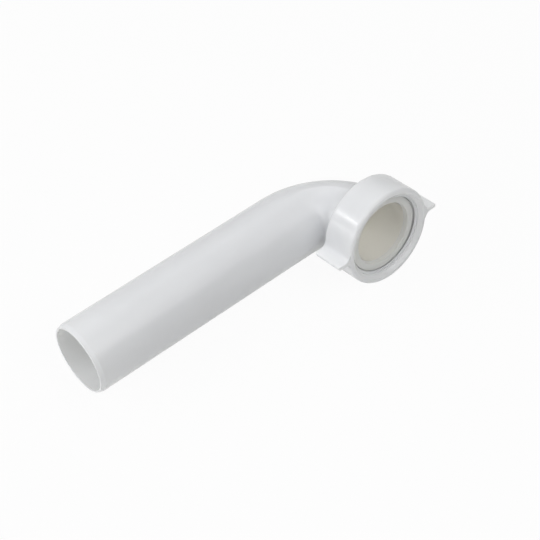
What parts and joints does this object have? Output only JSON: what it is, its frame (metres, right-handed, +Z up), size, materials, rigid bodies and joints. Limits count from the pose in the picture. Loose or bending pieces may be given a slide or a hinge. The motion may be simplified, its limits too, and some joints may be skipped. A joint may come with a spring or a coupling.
{
  "type": "angled drain hose connector",
  "caption": "White plastic waste elbow: a long plain leg sweeps through a right angle into a short neck with a winged coupling nut and a flat sealing washer.",
  "frame": {"origin": "middle of the long leg's plain end face", "axes": "+X along the long leg, out of its plain end; +Z up with the part lying at rest, so the short leg points along +Y and leans up out of level"},
  "size_m": [0.2082, 0.073, 0.0597],
  "materials": {
    "pipe_plastic": "smooth white moulded plastic, semi-gloss",
    "nut_plastic": "smooth white moulded plastic, semi-gloss",
    "washer_rubber": "soft off-white sealing ring, matt"
  },
  "bodies": {
    "pipe": {"elbow_pipe": "pipe_plastic", "sealing_washer": "washer_rubber"},
    "nut": {"wing_nut": "nut_plastic"}
  },
  "joints": [
    {"name": "nut_spin", "type": "hinge", "parent": "pipe", "child": "nut", "pos_m": [-0.172, 0.0273, 0.00744], "axis": [0, 0.9648, 0.2629], "continuous": true}
  ]
}
